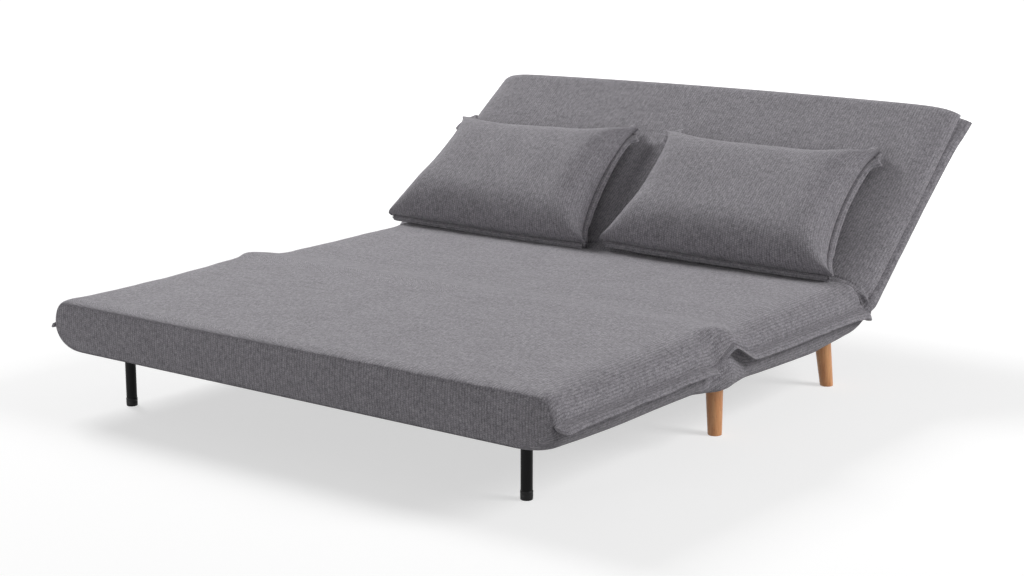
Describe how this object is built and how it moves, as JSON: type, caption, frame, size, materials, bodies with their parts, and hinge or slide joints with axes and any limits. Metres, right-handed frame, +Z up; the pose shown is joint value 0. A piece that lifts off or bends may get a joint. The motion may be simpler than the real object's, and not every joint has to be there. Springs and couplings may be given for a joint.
{
  "type": "futon sofa bed",
  "caption": "Fold-out futon sofa bed: low padded foot section and seat on wooden and folding tube legs, reclining padded backrest and loose rectangular pillows, in grey fabric",
  "frame": {"origin": "on the floor, under the centre of the footprint in the lounging position", "axes": "+X to the right of someone standing at the foot end and looking at the backrest, +Y from the foot end to the backrest, +Z up"},
  "size_m": [1.5, 1.8061, 0.6384],
  "materials": {
    "cover_fabric": "grey melange woven upholstery over foam, matt",
    "pillow_fabric": "the same grey woven fabric over a soft fibre filling, matt",
    "stained_wood": "turned hardwood, honey-brown stain and satin lacquer",
    "plywood": "unfinished plywood slats",
    "frame_steel": "dark powder-coated steel tube",
    "black_tube": "round steel tube, gloss black",
    "black_plastic": "moulded black plastic cap",
    "zinc_steel": "zinc-plated pressed steel"
  },
  "bodies": {
    "seat": {"seat_cushion": "cover_fabric", "seat_frame_front_rail": "frame_steel", "seat_frame_rear_rail": "frame_steel", "seat_frame_left_rail": "frame_steel", "seat_frame_right_rail": "frame_steel", "seat_slat_1": "plywood", "seat_slat_2": "plywood", "seat_slat_3": "plywood", "seat_slat_4": "plywood", "wooden_leg_front_left": "stained_wood", "leg_plate_front_left": "zinc_steel", "leg_bolt_front_left": "zinc_steel", "wooden_leg_front_right": "stained_wood", "leg_plate_front_right": "zinc_steel", "leg_bolt_front_right": "zinc_steel", "wooden_leg_rear_left": "stained_wood", "leg_plate_rear_left": "zinc_steel", "leg_bolt_rear_left": "zinc_steel", "wooden_leg_rear_right": "stained_wood", "leg_plate_rear_right": "zinc_steel", "leg_bolt_rear_right": "zinc_steel", "fold_hinge_seat_plate_left": "zinc_steel", "fold_hinge_pin_left": "zinc_steel", "recline_seat_plate_left": "zinc_steel", "recline_pin_left": "zinc_steel", "fold_hinge_seat_plate_right": "zinc_steel", "fold_hinge_pin_right": "zinc_steel", "recline_seat_plate_right": "zinc_steel", "recline_pin_right": "zinc_steel"},
    "foot_section": {"foot_cushion": "cover_fabric", "foot_frame_end_rail": "frame_steel", "foot_frame_crease_rail": "frame_steel", "foot_frame_left_rail": "frame_steel", "foot_frame_right_rail": "frame_steel", "foot_leg_beam": "frame_steel", "foot_slat_1": "plywood", "foot_slat_2": "plywood", "foot_slat_3": "plywood", "foot_slat_4": "plywood", "fold_hinge_foot_plate_left": "zinc_steel", "leg_hoop_bracket_left": "zinc_steel", "fold_hinge_foot_plate_right": "zinc_steel", "leg_hoop_bracket_right": "zinc_steel"},
    "leg_hoop": {"leg_hoop_tube": "black_tube", "leg_hoop_cap_left": "black_plastic", "leg_hoop_cap_right": "black_plastic"},
    "backrest": {"back_cushion": "cover_fabric", "back_frame_lower_rail": "frame_steel", "back_frame_upper_rail": "frame_steel", "back_frame_left_rail": "frame_steel", "back_frame_right_rail": "frame_steel", "back_slat_1": "plywood", "back_slat_2": "plywood", "back_slat_3": "plywood", "back_slat_4": "plywood", "recline_back_plate_left": "zinc_steel", "recline_back_plate_right": "zinc_steel"},
    "pillow_left": {"pillow_left": "pillow_fabric"},
    "pillow_right": {"pillow_right": "pillow_fabric"}
  },
  "joints": [
    {"name": "front_fold", "type": "hinge", "parent": "seat", "child": "foot_section", "pos_m": [0, -0.29512, 0.258], "axis": [-1, 0, 0], "range_deg": [0, 180], "deforming": ["pillow_left", "pillow_right"]},
    {"name": "backrest_recline", "type": "hinge", "parent": "seat", "child": "backrest", "pos_m": [0, 0.35288, 0.1945], "axis": [1, 0, 0], "range_deg": [-38, 37]},
    {"name": "leg_fold", "type": "hinge", "parent": "foot_section", "child": "leg_hoop", "pos_m": [0, -0.80012, 0.122], "axis": [1, 0, 0], "range_deg": [0, 90]},
    {"name": "pillow_left_place", "type": "slide", "parent": "backrest", "child": "pillow_left", "axis": [0, 0.788, 0.6157], "range_m": [0, 0.155]},
    {"name": "pillow_right_place", "type": "slide", "parent": "backrest", "child": "pillow_right", "axis": [0, 0.788, 0.6157], "range_m": [0, 0.155]}
  ],
  "couplings": [
    {"joint": "pillow_left_place", "follows": "front_fold", "m_per_rad": 0.049337},
    {"joint": "pillow_right_place", "follows": "front_fold", "m_per_rad": 0.049337}
  ]
}
